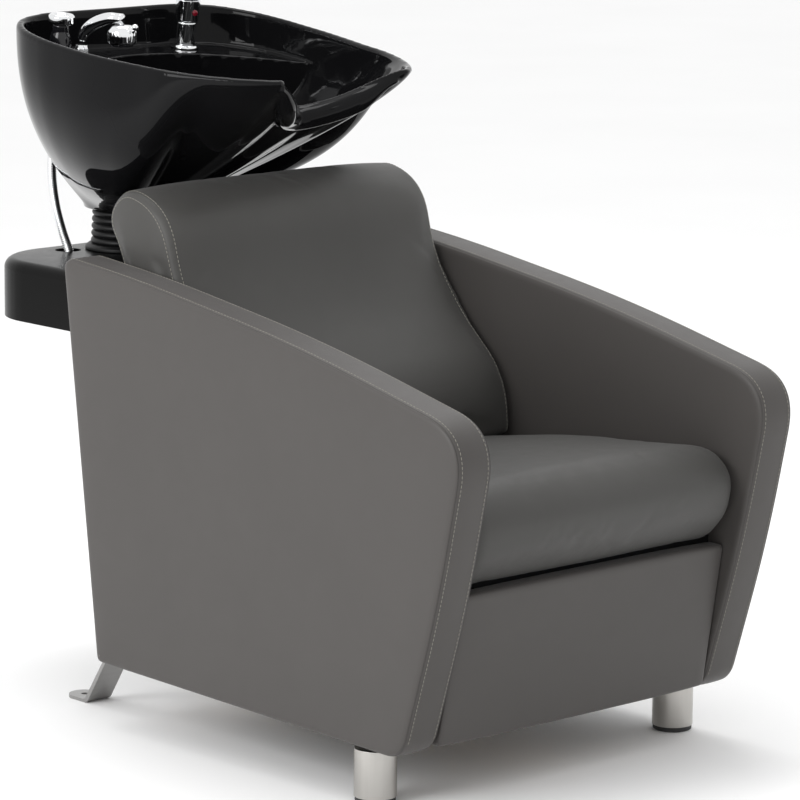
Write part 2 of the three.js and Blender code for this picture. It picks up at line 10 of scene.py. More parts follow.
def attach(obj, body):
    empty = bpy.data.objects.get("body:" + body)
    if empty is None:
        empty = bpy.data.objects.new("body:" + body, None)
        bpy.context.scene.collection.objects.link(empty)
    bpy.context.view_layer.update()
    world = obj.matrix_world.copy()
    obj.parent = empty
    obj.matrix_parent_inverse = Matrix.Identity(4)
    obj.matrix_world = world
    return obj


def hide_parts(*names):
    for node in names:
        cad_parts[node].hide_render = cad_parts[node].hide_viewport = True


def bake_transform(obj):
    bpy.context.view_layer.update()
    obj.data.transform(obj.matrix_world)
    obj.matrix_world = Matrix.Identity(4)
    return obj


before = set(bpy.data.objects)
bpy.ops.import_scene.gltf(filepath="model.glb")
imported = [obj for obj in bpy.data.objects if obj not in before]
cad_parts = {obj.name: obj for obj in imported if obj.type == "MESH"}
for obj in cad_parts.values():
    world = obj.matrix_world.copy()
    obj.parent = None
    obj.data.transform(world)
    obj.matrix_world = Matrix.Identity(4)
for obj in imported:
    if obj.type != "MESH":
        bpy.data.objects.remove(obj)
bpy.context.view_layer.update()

# All sizes are millimetres, drawn from the chair's own datum; SHIFT_Y moves them into the frame.
MM = 0.001
SHIFT_Y = -152.5
SIDES = (("left", -1), ("right", 1))

CAMERA_AT = (-4229.2, -4517.1, 1634.2)
CAMERA_AZIMUTH, CAMERA_ELEVATION, CAMERA_ROLL = (math.radians(a) for a in (-42.953, 10.463, 0.471))
CAMERA_LENS = 195.56

HALF_WIDTH, INNER_HALF = 330.0, 264.4
CUSHION_HALF = 262.8

# side profiles: (y, z, distance over which the corner is rounded)
ARM_PROFILE = [(-334, 78, 34), (322, 95, 10), (396, 687, 22), (232, 672, 90),
               (-120, 621, 150), (-455, 545, 78), (-404, 305, 100)]
SEAT_PROFILE = [(-364, 312, 14), (-400, 352, 20), (-411, 408, 26), (-372, 446, 26),
                (-120, 428, 80), (150, 384, 20), (150, 312, 14)]
BACK_PROFILE = [(52, 402, 10), (62, 492, 55), (206, 622, 80), (250, 772, 62), (345, 793, 32),
                (385, 746, 28), (352, 676, 30), (303, 570, 30), (176, 390, 12)]
FRONT_PROFILE = [(-342, 88, 5), (-320, 88, 3), (-349, 303, 3), (-377, 303, 9)]
REAR_PROFILE = [(318, 100, 5), (388, 662, 5), (372, 662, 2), (302, 100, 2)]
SIDE_STITCH_DEPTH = 9.0              # from an arm's face to its row of stitches
STITCHED_ABOVE = 100.0               # the underside of an arm has no stitches

LEG_X, LEG_Y, LEG_R, LEG_TOP = 296.6, -249.5, 30.0, 76.0
GLIDE_R, GLIDE_TOP = 28.6, 7.0

SHELF_HALF, SHELF_FRONT, SHELF_REAR, SHELF_CORNER = 221.0, 388.0, 747.0, 112.0
SHELF_Z = (550.0, 640.0)
SHELF_EDGE, SHELF_WALL = 16.0, 4.0
PLATE_SLOT_X, PLATE_SLOT_Z = (-64, 64), (585, 603)
DRAIN_SLOT_X, DRAIN_SLOT_Z = (-22, 22), (500, 566)
TOWER_HOLE_R = 52
HOSE_HOLE, HOSE_HOLE_R = (-84, 690), 20
PIVOT = (0.0, 650.0, 672.0)
BOOT_Z, BOOT_FOLDS = (648.0, 703.0), 5

# basin
RIM_PLAN = [(0, 697), (68, 698), (134, 695), (193, 671), (229, 621), (244, 562), (247, 505), (246, 452),
            (240, 400), (231, 350), (222, 300), (204, 250), (183, 210), (161, 178), (140, 157), (121, 148)]
NECK_PLAN = [(96, 168), (60, 206), (30, 240), (0, 256)]
NECK_DEPTH, WALL = 62.0, 13.0
LIP_R, LIP_END_R = 16.5, 6.2
FOOT, FOOT_R = (0.0, 650.0, 705.0), 66.0
BASIN_FLOOR, BASIN_FLOOR_R = (0.0, 575.0, 742.0), 51.0
DECK_Z, DECK_SLOPE, DECK_FRONT, DECK_CURVE, DECK_THICK = 938.0, 0.11, 632.0, 0.0027, 12.0
HOSE_PORT = ((-142, -70), (664, 740), (772, 880))
DRAIN, DRAIN_R = (0.0, 604.0), 15.0
FAUCET, BREAKER, HOLDER = (118.0, 650.0), (-152.0, 624.0), (-122.0, 610.0)
HOSE_PATH = [(-84, 676, 604), (-85, 687, 640), (-90, 697, 671), (-97, 704, 712), (-105, 702, 760),
             (-114, 686, 802), (-121, 655, 836), (-122, 622, 858), (-122, 618, 868)]
HOSE_R, HOSE_RIB, HOSE_PITCH = 7.0, 0.38, 3.0
SPRAYER_PATH = [(-122, 606.6, 975), (-121, 598, 988), (-117, 580, 1000), (-110, 555, 1009), (-103, 533, 1009)]
HEAD, HEAD_HEIGHT, HEAD_FLUTES = (-105, 531, 972), 30, 24
KNOB_R = 5.0
LEANING = Matrix.Rotation(math.atan(DECK_SLOPE), 4, "X")     # fittings stand square to the sloping deck


def place(p):
    """A point in datum millimetres as a row-frame point in metres."""
    return Vector((p[0] * MM, (p[1] + SHIFT_Y) * MM, p[2] * MM))


# ---------------------------------------------------------------- camera
def make_camera():
    az, el, roll = CAMERA_AZIMUTH, CAMERA_ELEVATION, CAMERA_ROLL
    back = Vector((math.sin(az) * math.cos(el), -math.cos(az) * math.cos(el), math.sin(el)))
    right = Vector((math.cos(az), math.sin(az), 0))
    up = back.cross(right)
    side = right * math.cos(roll) + up * math.sin(roll)
    top = -right * math.sin(roll) + up * math.cos(roll)
    data = bpy.data.cameras.new("camera")
    data.lens, data.sensor_width = CAMERA_LENS, 36
    data.clip_end = 50
    camera = bpy.data.objects.new("camera", data)
    rotation = Matrix((side, top, back)).transposed().to_4x4()
    camera.matrix_world = Matrix.Translation(place(CAMERA_AT)) @ rotation
    bpy.context.collection.objects.link(camera)
    bpy.context.scene.camera = camera


make_camera()


# ---------------------------------------------------------------- materials
class Nodes:
    """Small helper round a material's node tree."""

    def __init__(self, name):
        self.material = bpy.data.materials.new(name)
        self.material.use_nodes = True
        self.tree = self.material.node_tree
        self.shader = self.tree.nodes["Principled BSDF"]
        self.object_space = self.tree.nodes.new("ShaderNodeTexCoord").outputs["Object"]

    def add(self, kind, **values):
        node = self.tree.nodes.new(kind)
        for key, value in values.items():
            if key in node.inputs:
                node.inputs[key].default_value = value
            else:
                setattr(node, key, value)
        return node

    def link(self, source, target):
        self.tree.links.new(source, target)

    def noise(self, scale, detail=3.0, roughness=0.5, stretch=None):
        node = self.add("ShaderNodeTexNoise", Scale=scale, Detail=detail, Roughness=roughness)
        source = self.object_space
        if stretch:
            mapping = self.add("ShaderNodeMapping", Scale=stretch)
            self.link(source, mapping.inputs["Vector"])
            source = mapping.outputs["Vector"]
        self.link(source, node.inputs["Vector"])
        return node.outputs["Fac"]

    def ramp(self, source, low, high, start=0.0, end=1.0):
        node = self.add("ShaderNodeMapRange")
        node.inputs["From Min"].default_value, node.inputs["From Max"].default_value = start, end
        node.inputs["To Min"].default_value, node.inputs["To Max"].default_value = low, high
        self.link(source, node.inputs["Value"])
        return node.outputs["Result"]

    def tint(self, source, dark, light):
        node = self.add("ShaderNodeMix", data_type="RGBA")
        node.inputs["A"].default_value = (*dark, 1)
        node.inputs["B"].default_value = (*light, 1)
        self.link(source, node.inputs["Factor"])
        self.link(node.outputs["Result"], self.shader.inputs["Base Color"])

    def bump(self, source, strength, distance, base=None):
        node = self.add("ShaderNodeBump", Strength=strength, Distance=distance)
        self.link(source, node.inputs["Height"])
        if base:
            self.link(base, node.inputs["Normal"])
        self.link(node.outputs["Normal"], self.shader.inputs["Normal"])
        return node.outputs["Normal"]


def linear(*srgb):
    """An 8-bit sRGB colour as linear light."""
    return tuple(((c / 255 + 0.055) / 1.055) ** 2.4 for c in srgb)


def vinyl(name, srgb):
    """Upholstery vinyl: a fine pebbled grain, faint cloudiness and soft low waves in the stretched skin."""
    m = Nodes(name)
    colour = linear(*srgb)
    m.tint(m.noise(7, 4), [c * 0.93 for c in colour], [c * 1.07 for c in colour])
    grain = m.add("ShaderNodeTexVoronoi", Scale=900.0, feature="DISTANCE_TO_EDGE")
    m.link(m.object_space, grain.inputs["Vector"])
    pebbles = m.ramp(grain.outputs["Distance"], 0, 1, 0, 0.12)
    fine = m.bump(pebbles, 0.25, 0.00012)
    m.bump(m.noise(9, 2), 0.35, 0.0016, fine)
    m.link(m.ramp(m.noise(40, 3), 0.42, 0.54), m.shader.inputs["Roughness"])
    m.shader.inputs["Specular IOR Level"].default_value = 0.38
    m.shader.inputs["Sheen Weight"].default_value = 0.08
    m.shader.inputs["Sheen Roughness"].default_value = 0.5
    return m.material


def thread(name, srgb):
    """Twisted sewing thread."""
    m = Nodes(name)
    colour = linear(*srgb)
    m.tint(m.noise(900, 2), [c * 0.75 for c in colour], [min(1, c * 1.15) for c in colour])
    m.bump(m.noise(2500, 1), 0.5, 0.0003)
    m.shader.inputs["Roughness"].default_value = 0.6
    return m.material


def glaze():
    """Black glazed ceramic: a deep gloss with the slightest orange peel."""
    m = Nodes("black_glaze")
    m.tint(m.noise(5, 2), (0.0035, 0.0035, 0.004), (0.0065, 0.0065, 0.007))
    m.bump(m.noise(14, 2), 0.06, 0.0012)
    m.link(m.ramp(m.noise(25, 3), 0.02, 0.055), m.shader.inputs["Roughness"])
    m.shader.inputs["Specular IOR Level"].default_value = 0.13
    return m.material


def metal(name, colour, low, high, stretch=None, scale=60, bump=0.0):
    """Metal whose roughness runs between `low` and `high`; a stretched noise makes it look brushed."""
    m = Nodes(name)
    m.tint(m.noise(scale, 3, stretch=stretch), [c * 0.9 for c in colour], colour)
    m.shader.inputs["Metallic"].default_value = 1.0
    streaks = m.noise(scale * 3, 4, stretch=stretch)
    m.link(m.ramp(streaks, low, high), m.shader.inputs["Roughness"])
    if bump:
        m.bump(streaks, bump, 0.0002)
    return m.material


def moulded(name, srgb, low, high, grain=700.0, bump=0.25, specular=0.5):
    """Moulded plastic or rubber with a fine spark-eroded texture."""
    m = Nodes(name)
    colour = linear(*srgb)
    m.tint(m.noise(30, 3), [c * 0.85 for c in colour], [c * 1.15 for c in colour])
    m.bump(m.noise(grain, 2), bump, 0.0002)
    m.link(m.ramp(m.noise(55, 3), low, high), m.shader.inputs["Roughness"])
    m.shader.inputs["Specular IOR Level"].default_value = specular
    return m.material


def timber(name, srgb):
    """Wood with grain along X."""
    m = Nodes(name)
    colour = linear(*srgb)
    rings = m.noise(30, 6, 0.65, stretch=(0.25, 3.0, 3.0))
    m.tint(rings, [c * 0.6 for c in colour], [min(1, c * 1.15) for c in colour])
    m.bump(rings, 0.4, 0.0006)
    m.link(m.ramp(rings, 0.55, 0.75), m.shader.inputs["Roughness"])
    return m.material


OUTER_VINYL = vinyl("vinyl_outer", (66, 63, 61))
CUSHION_VINYL = vinyl("vinyl_cushion", (61, 60, 58))
THREAD = thread("stitch_thread", (136, 133, 124))
GLAZE = glaze()
CHROME = metal("chrome", (0.86, 0.87, 0.88), 0.03, 0.10)
BRUSHED = metal("brushed_steel", (0.50, 0.485, 0.46), 0.22, 0.42,
                stretch=(1, 1, 0.02), scale=160, bump=0.15)
BRUSHED_STRAP = metal("brushed_strap", (0.36, 0.355, 0.35), 0.24, 0.42,
                      stretch=(0.05, 1, 1), scale=160, bump=0.1)
ZINC = metal("zinc_plate", (0.55, 0.56, 0.58), 0.3, 0.5)
BRASS = metal("raw_brass", (0.66, 0.52, 0.28), 0.25, 0.4)
POWDER = moulded("powder_coat", (44, 44, 46), 0.42, 0.55, grain=900, bump=0.4)
SHELF_PLASTIC = moulded("shelf_plastic", (9, 9, 9), 0.20, 0.28, grain=800, bump=0.06, specular=0.09)
RUBBER = moulded("boot_rubber", (14, 14, 15), 0.38, 0.55, grain=400, specular=0.3)
GLIDE = moulded("glide_rubber", (30, 30, 30), 0.5, 0.65)
DARK_PLASTIC = moulded("dark_plastic", (22, 22, 25), 0.08, 0.16, bump=0.05)
RED_PLASTIC = moulded("red_plastic", (120, 18, 34), 0.1, 0.2, bump=0.05)
PIPE = moulded("pipe_plastic", (70, 71, 73), 0.4, 0.55)
# Black lining on the seat board, also kept this dark to paint the shadow in the gap under the seat cushion.
SHADOW_GAP_LINING = moulded("black_lining_and_painted_gap_shadow", (16, 16, 17), 0.75, 0.9, grain=1200, bump=0.5, specular=0.1)
PLYWOOD = timber("plywood", (190, 160, 115))
SOFTWOOD = timber("softwood", (170, 138, 95))


# ---------------------------------------------------------------- mesh helpers
def new_object(name, verts, faces, material, smooth=True):
    mesh = bpy.data.meshes.new(name)
    mesh.from_pydata([tuple(v) for v in verts], [], [tuple(int(i) for i in f) for f in faces])
    mesh.update()
    if smooth:
        mesh.shade_smooth()
    obj = bpy.data.objects.new(name, mesh)
    bpy.context.collection.objects.link(obj)
    if material:
        mesh.materials.append(material)
    return obj


def seat_piece(obj, body, replaces=()):
    """Lets a piece ride on a body and the CAD nodes it stands for."""
    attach(obj, body)
    if replaces:
        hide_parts(*replaces)


def apply_modifiers(obj):
    depsgraph = bpy.context.evaluated_depsgraph_get()
    mesh = bpy.data.meshes.new_from_object(obj.evaluated_get(depsgraph))
    obj.modifiers.clear()
    old, obj.data = obj.data, mesh
    bpy.data.meshes.remove(old)


def even_steps(points, step, closed=True):
    """Points along a polyline at an even spacing close to `step`."""
    pts = np.asarray(points, float)
    if closed:
        pts = np.vstack([pts, pts[:1]])
    lengths = np.concatenate([[0], np.cumsum(np.linalg.norm(np.diff(pts, axis=0), axis=1))])
    count = max(4, int(round(lengths[-1] / step)))
    at = np.linspace(0, lengths[-1], count + (0 if closed else 1), endpoint=not closed)
    return np.stack([np.interp(at, lengths, pts[:, k]) for k in range(pts.shape[1])], 1)


def rounded(corners, step=4.0):
    """Closed (y, z) outline whose corners are rounded over the given distances, at an even spacing."""
    points, n = [], len(corners)
    for i, (y, z, cut) in enumerate(corners):
        at = np.array((y, z), float)
        before, after = (np.array(corners[j % n][:2], float) - at for j in (i - 1, i + 1))
        a = at + before / np.linalg.norm(before) * cut
        b = at + after / np.linalg.norm(after) * cut
        for t in np.linspace(0, 1, 13):
            points.append((1 - t) ** 2 * a + 2 * t * (1 - t) * at + t * t * b)
    outline = even_steps(points, step)
    y, z = outline.T
    area = np.sum(y * np.roll(z, -1) - z * np.roll(y, -1))
    return outline if area > 0 else outline[::-1]


def normals_of(outline):
    """Outward normals of a counter-clockwise closed outline."""
    tangent = np.roll(outline, -1, 0) - np.roll(outline, 1, 0)
    tangent /= np.linalg.norm(tangent, axis=1)[:, None]
    return np.stack([tangent[:, 1], -tangent[:, 0]], 1)


def ring_faces(count, rings):
    """Quads between successive rings of equal point counts."""
    faces = []
    for r in range(rings - 1):
        for i in range(count):
            j = (i + 1) % count
            a, b = r * count, (r + 1) * count
            faces.append((a + i, a + j, b + j, b + i))
    return faces


def skin(name, rings, material, caps=True):
    """Skin through a list of rings (arrays of 3-D points), closed at both ends if it has caps."""
    count = len(rings[0])
    verts = [place(p) for ring in rings for p in ring]
    faces = ring_faces(count, len(rings))
    if caps:
        for r, flip in ((0, True), (len(rings) - 1, False)):
            centre = len(verts)
            verts.append(place(np.mean(rings[r], 0)))
            for i in range(count):
                j = (i + 1) % count
                tri = (r * count + i, r * count + j, centre)
                faces.append(tri[::-1] if flip else tri)
    obj = new_object(name, verts, faces, material)
    bm = bmesh.new()
    bm.from_mesh(obj.data)
    bmesh.ops.recalc_face_normals(bm, faces=bm.faces)
    bm.to_mesh(obj.data)
    bm.free()
    return obj


def lathe(name, profile, material, segments=72, at=(0, 0, 0), tilt=None, sharp=35):
    """Turned solid about +Z from (radius, height) points in millimetres, moved to `at`."""
    profile = np.asarray(profile, float)
    verts, faces = [], []
    for r, z in profile:
        for k in range(segments):
            a = 2 * math.pi * k / segments
            verts.append(Vector((r * math.cos(a), r * math.sin(a), z)))
    faces = ring_faces(segments, len(profile))
    matrix = Matrix.Translation(Vector(at)) @ (tilt or Matrix.Identity(4))
    obj = new_object(name, [place(matrix @ v) for v in verts], faces, material)
    bm = bmesh.new()
    bm.from_mesh(obj.data)
    bmesh.ops.remove_doubles(bm, verts=bm.verts, dist=1e-6)
    bmesh.ops.holes_fill(bm, edges=[e for e in bm.edges if e.is_boundary], sides=0)
    bmesh.ops.recalc_face_normals(bm, faces=bm.faces)
    for e in bm.edges:
        e.smooth = e.calc_face_angle(0) < math.radians(sharp)
    bm.to_mesh(obj.data)
    bm.free()
    return obj


def soften(profile, radius=1.0, steps=4):
    """Rounds each inner corner of an open (r, z) profile."""
    pts = [np.array(p, float) for p in profile]
    out = [pts[0]]
    for a, b, c in zip(pts, pts[1:], pts[2:]):
        cut = min(radius, 0.45 * np.linalg.norm(a - b), 0.45 * np.linalg.norm(c - b))
        p = b + (a - b) / np.linalg.norm(a - b) * cut
        q = b + (c - b) / np.linalg.norm(c - b) * cut
        for t in np.linspace(0, 1, steps + 1):
            out.append((1 - t) ** 2 * p + 2 * t * (1 - t) * b + t * t * q)
    return out + [pts[-1]]


def catmull(points, step=2.0, closed=False):
    """Smooth curve through points, at an even spacing."""
    pts = np.asarray(points, float)
    n = len(pts)
    out = []
    for i in range(n if closed else n - 1):
        p0 = pts[i - 1] if closed or i > 0 else 2 * pts[0] - pts[1]
        p1, p2 = pts[i], pts[(i + 1) % n]
        p3 = pts[(i + 2) % n] if closed or i + 2 < n else 2 * pts[-1] - pts[-2]
        for t in np.linspace(0, 1, 24, endpoint=False):
            out.append(0.5 * (2 * p1 + (p2 - p0) * t + (2 * p0 - 5 * p1 + 4 * p2 - p3) * t * t
                              + (3 * p1 - p0 - 3 * p2 + p3) * t ** 3))
    if not closed:
        out.append(pts[-1])
    return even_steps(out, step, closed)


def tube(name, path, radius, material, sides=24):
    """Round tube along a path; `radius` is a number or a function of 0 to 1 along it."""
    path = np.asarray(path, float)
    tangent = np.gradient(path, axis=0)
    tangent /= np.linalg.norm(tangent, axis=1)[:, None]
    normal = np.cross(tangent[0], (0.3, 0.9, 0.1))
    rings = []
    for k, (p, t) in enumerate(zip(path, tangent)):
        normal = normal - t * (normal @ t)
        normal /= np.linalg.norm(normal)
        side = np.cross(t, normal)
        r = radius(k / (len(path) - 1)) if callable(radius) else radius
        angle = np.linspace(0, 2 * math.pi, sides, endpoint=False)
        rings.append(p + r * (np.cos(angle)[:, None] * normal + np.sin(angle)[:, None] * side))
    return skin(name, rings, material)


def stitches(name, points, outward, pitch=6.4, length=4.3, width=0.55, lift=0.25):
    """A row of short thread stitches along a line of surface points, given their outward directions."""
    both = even_steps(np.hstack([points, outward]), pitch, closed=False)
    sections, sides = ((-0.5, 0.35), (-0.36, 1.0), (0.36, 1.0), (0.5, 0.35)), 6
    verts, faces = [], []
    for here, after in zip(both, both[1:]):
        along = after[:3] - here[:3]
        along /= np.linalg.norm(along)
        up = here[3:] / np.linalg.norm(here[3:])
        side = np.cross(along, up)
        middle = here[:3] + along * pitch / 2
        start = len(verts)
        for at, grow in sections:
            for k in range(sides):
                a = 2 * math.pi * k / sides
                across = side * width * grow * math.cos(a)
                verts.append(place(middle + along * length * at + across
                                   + up * (lift + width * grow * math.sin(a))))
        faces += [tuple(start + i for i in face) for face in ring_faces(sides, len(sections))]
        faces.append(tuple(start + k for k in range(sides)))
        last = start + sides * (len(sections) - 1)
        faces.append(tuple(last + k for k in reversed(range(sides))))
    return new_object(name, verts, faces, THREAD)


def boolean(obj, operation, *tools):
    """Joins, cuts or intersects an object with each tool in turn, and uses the tools up."""
    for tool in tools:
        modifier = obj.modifiers.new("cut", "BOOLEAN")
        modifier.operation, modifier.object, modifier.solver = operation, tool, "MANIFOLD"
        apply_modifiers(obj)
        bpy.data.objects.remove(tool)


def cylinder(radius, z0, z1, at):
    return lathe("tool", [(0.01, z0), (radius, z0), (radius, z1), (0.01, z1)], None, 64, (*at, 0))


def block(x, y, z):
    """Box between two values on each axis."""
    corners = [(a, b, c) for c in z for a, b in ((x[0], y[0]), (x[1], y[0]), (x[1], y[1]), (x[0], y[1]))]
    faces = [(3, 2, 1, 0), (4, 5, 6, 7), (0, 1, 5, 4), (1, 2, 6, 5), (2, 3, 7, 6), (3, 0, 4, 7)]
    return new_object("tool", [place(p) for p in corners], faces, None, smooth=False)


def on_surface(obj, points):
    """The nearest points of an object's surface, and its normals there."""
    near, normals = [], []
    for point in points:
        _, where, normal, _ = obj.closest_point_on_mesh(place(point))
        near.append((where.x / MM, where.y / MM - SHIFT_Y, where.z / MM))
        normals.append(tuple(normal))
    return np.array(near), np.array(normals)


# ---------------------------------------------------------------- upholstered panels
def panel_rings(outline, x_face, direction, thick):
    """Rings of a padded panel's boxing: welted seam, gently crowned strip, welted seam."""
    normal = normals_of(outline)

    def ring(depth, inset):
        flat = outline - normal * inset
        return np.column_stack([np.full(len(flat), x_face - direction * depth), flat])

    edge = [(0.2, 11), (0.7, 6.5), (1.6, 3.6), (2.7, 1.9), (3.3, 1.6), (3.9, 3.6), (4.5, 1.4), (6.0, 0.3)]
    box = [(9, 0.0), (14, -0.35), (22, -0.7), (thick / 2, -0.9)]
    near = [ring(d, i) for d, i in edge + box]
    return near + [ring(thick - d, i) for d, i in reversed(edge + box[:-1])]


def face_field(ring, direction, swell, pitch=16.0):
    """Verts and triangles that fill a flat (x, y, z) ring, swelling `swell` mm out towards the middle."""
    edges = ring[:, 1:]
    low, high = edges.min(0), edges.max(0)
    inner = []
    for v in np.arange(low[1], high[1], pitch * 0.87):
        for u in np.arange(low[0] + (pitch / 2 if int(v / pitch) % 2 else 0), high[0], pitch):
            inner.append((u, v))
    inner = np.array(inner)
    gap = np.sqrt(((inner[:, None] - edges[None]) ** 2).sum(2)).min(1)
    inner = inner[gap > pitch * 0.5]
    points = [Vector(p) for p in (*edges, *inner)]
    loop = [list(range(len(edges)))]
    verts, _, faces, *_ = mathutils.geometry.delaunay_2d_cdt(points, [], loop, 1, 1e-4)
    field = np.array([tuple(v) for v in verts])
    depth = np.sqrt(((field[:, None] - edges[None]) ** 2).sum(2)).min(1)
    rise = swell * (1 - np.exp(-depth / 38.0))
    x = ring[0, 0] + direction * rise
    return np.column_stack([x, field]), faces


def arm(side, sign):
    """Arm panel with two puffed faces and a stitch row along each edge of its boxing."""
    outline = rounded(ARM_PROFILE, 5.0)
    thick = HALF_WIDTH - INNER_HALF
    rings = panel_rings(outline, sign * HALF_WIDTH, sign, thick)
    obj = skin(f"arm_cover_{side}", rings, OUTER_VINYL, caps=False)
    add_faces(obj, [face_field(rings[0], sign, 1.8), face_field(rings[-1], -sign, 1.4)])
    seat_piece(obj, "chair", [f"arm_{side}"])
    normal = normals_of(outline)
    for row, depth in (("outer", SIDE_STITCH_DEPTH), ("inner", thick - SIDE_STITCH_DEPTH)):
        x = sign * (HALF_WIDTH - depth)
        points = np.column_stack([np.full(len(outline), x), outline])
        outward = np.column_stack([np.zeros(len(outline)), normal])
        keep = outline[:, 1] > STITCHED_ABOVE
        first = int(np.argmax(~keep & np.roll(keep, -1))) + 1
        order = np.roll(np.arange(len(outline)), -first)
        order = order[keep[order]]
        seat_piece(stitches(f"arm_stitch_{row}_{side}", points[order], outward[order]), "chair")


def add_faces(obj, fields):
    """Welds filled faces onto the open ends of a skin."""
    bm = bmesh.new()
    bm.from_mesh(obj.data)
    for verts, faces in fields:
        made = [bm.verts.new(place(v)) for v in verts]
        for face in faces:
            bm.faces.new([made[i] for i in face])
    bmesh.ops.remove_doubles(bm, verts=bm.verts, dist=2e-5)
    bmesh.ops.recalc_face_normals(bm, faces=bm.faces)
    for face in bm.faces:
        face.smooth = True
    bm.to_mesh(obj.data)
    bm.free()


def cushion_rings(outline, half, edge, crown, centre, samples=21):
    """Rings across a cushion that is rounded at both sides and swells in the middle."""
    normal = normals_of(outline)
    rings = []
    for s in (0.04, 0.25, 0.5, 0.72, 0.87, 0.95):
        flat = centre + (outline - normal * edge - centre) * s
        rings.append(np.column_stack([np.full(len(flat), -half - 1.2 * (1 - s ** 4)), flat]))
    for t in np.linspace(0, math.pi / 2, 9):
        flat = outline - normal * edge * (1 - math.sin(t))
        rings.append(np.column_stack([np.full(len(flat), -half + edge * (1 - math.cos(t))), flat]))
    left = list(rings)
    inner = half - edge
    for x in np.linspace(-inner, inner, samples)[1:-1]:
        flat = outline + normal * np.broadcast_to(crown(x / inner), len(outline))[:, None]
        rings.append(np.column_stack([np.full(len(flat), x), flat]))
    right = [r * np.array((-1, 1, 1)) for r in reversed(left)]
    return rings + right


def vertex_places(obj):
    values = np.empty(len(obj.data.vertices) * 3)
    obj.data.vertices.foreach_get("co", values)
    return values.reshape(-1, 3)


def inflate(obj, voxel, pressure, cap, frames=20):
    """Pressurised cloth on the remeshed cushion, its movement capped in mm, then one subdivision."""
    remesh = obj.modifiers.new("remesh", "REMESH")
    remesh.mode, remesh.voxel_size, remesh.use_smooth_shade = "VOXEL", voxel * MM, True
    apply_modifiers(obj)
    start = vertex_places(obj)
    cloth = obj.modifiers.new("cloth", "CLOTH")
    settings = cloth.settings
    settings.quality = 5
    settings.use_pressure, settings.uniform_pressure_force = True, pressure
    settings.tension_stiffness = settings.compression_stiffness = 30
    settings.bending_stiffness = 1.5
    settings.effector_weights.gravity = 0
    scene = bpy.context.scene
    cloth.point_cache.frame_start, cloth.point_cache.frame_end = 1, frames
    for f in range(1, frames + 1):
        scene.frame_set(f)
    apply_modifiers(obj)
    scene.frame_set(1)
    move = vertex_places(obj) - start
    size = np.linalg.norm(move, axis=1, keepdims=True)
    limit = cap * MM
    move *= np.where(size > 1e-9, limit * np.tanh(size / limit) / np.maximum(size, 1e-9), 1)
    obj.data.vertices.foreach_set("co", (start + move).ravel())
    obj.modifiers.new("smooth", "SMOOTH").iterations = 3
    subdivide = obj.modifiers.new("subdivide", "SUBSURF")
    subdivide.levels = subdivide.render_levels = 1
    apply_modifiers(obj)
    obj.data.shade_smooth()
    return obj


def back_cushion():
    """Back cushion with a double row of stitches along each side seam."""
    outline = rounded(BACK_PROFILE, 6.0)
    centre = np.array((240.0, 680.0))
    half = CUSHION_HALF - 1.5
    rings = cushion_rings(outline, half, 13, lambda u: 5.0 * (1 - u ** 4), centre)
    obj = inflate(skin("back_cushion_cover", rings, CUSHION_VINYL), voxel=5, pressure=4, cap=4)
    seat_piece(obj, "chair", ["back_cushion"])
    normal = normals_of(outline)
    for side, sign in SIDES:
        for row, depth, inset in (("side", 1.0, 12.0), ("front", 12.0, 1.0)):
            line = outline - normal * inset
            points = np.column_stack([np.full(len(line), sign * (half - depth)), line])
            seat_piece(stitches(f"back_stitch_{side}_{row}", *on_surface(obj, points)), "chair")


def seat_cushion():
    """Seat cushion, crowned more on its top than on its front and base."""
    outline = rounded(SEAT_PROFILE, 6.0)
    centre = np.array((-130.0, 370.0))
    top_only = np.clip((outline[:, 1] - 340) / 60, 0, 1)

    def crown(u):
        return (1 - abs(u) ** 2.6) * (8.0 * top_only + 1.0)

    rings = cushion_rings(outline, CUSHION_HALF - 1.0, 26, crown, centre)
    obj = inflate(skin("seat_cushion_cover", rings, CUSHION_VINYL), voxel=5, pressure=4, cap=3)
    seat_piece(obj, "chair", ["seat_cushion"])


def stretched_panel(name, profile, swell, node):
    """Padded panel between the arms: a side profile run across, swelling a little away from its ends."""
    outline = rounded(profile, 3.0)
    normal = normals_of(outline)
    half = INNER_HALF - 1.2
    corner = [(-half, 5), (-half + 0.8, 2.4), (-half + 2.5, 0.8), (-half + 6, 0)]
    middle = [(x, -swell * (1 - (x / half) ** 4)) for x in np.linspace(-half + 20, half - 20, 15)]
    rings = []
    for x, inset in corner + middle + [(-x, inset) for x, inset in reversed(corner)]:
        flat = outline - normal * inset
        rings.append(np.column_stack([np.full(len(flat), x), flat]))
    obj = skin(name, rings, OUTER_VINYL)
    seat_piece(obj, "chair", [node])
    return obj


def front_panel():
    stretched_panel("front_panel_cover", FRONT_PROFILE, 2.2, "front_panel")


def rear_panel():
    obj = stretched_panel("rear_panel_cover", REAR_PROFILE, 0.3, "rear_panel")
    boolean(obj, "DIFFERENCE", block(PLATE_SLOT_X, (300, 420), PLATE_SLOT_Z),
            block(DRAIN_SLOT_X, (290, 420), (DRAIN_SLOT_Z[0], DRAIN_SLOT_Z[1] - 2)))
    obj.data.set_sharp_from_angle(angle=math.radians(50))


for side, sign in SIDES:
    arm(side, sign)
back_cushion()
seat_cushion()
front_panel()
rear_panel()


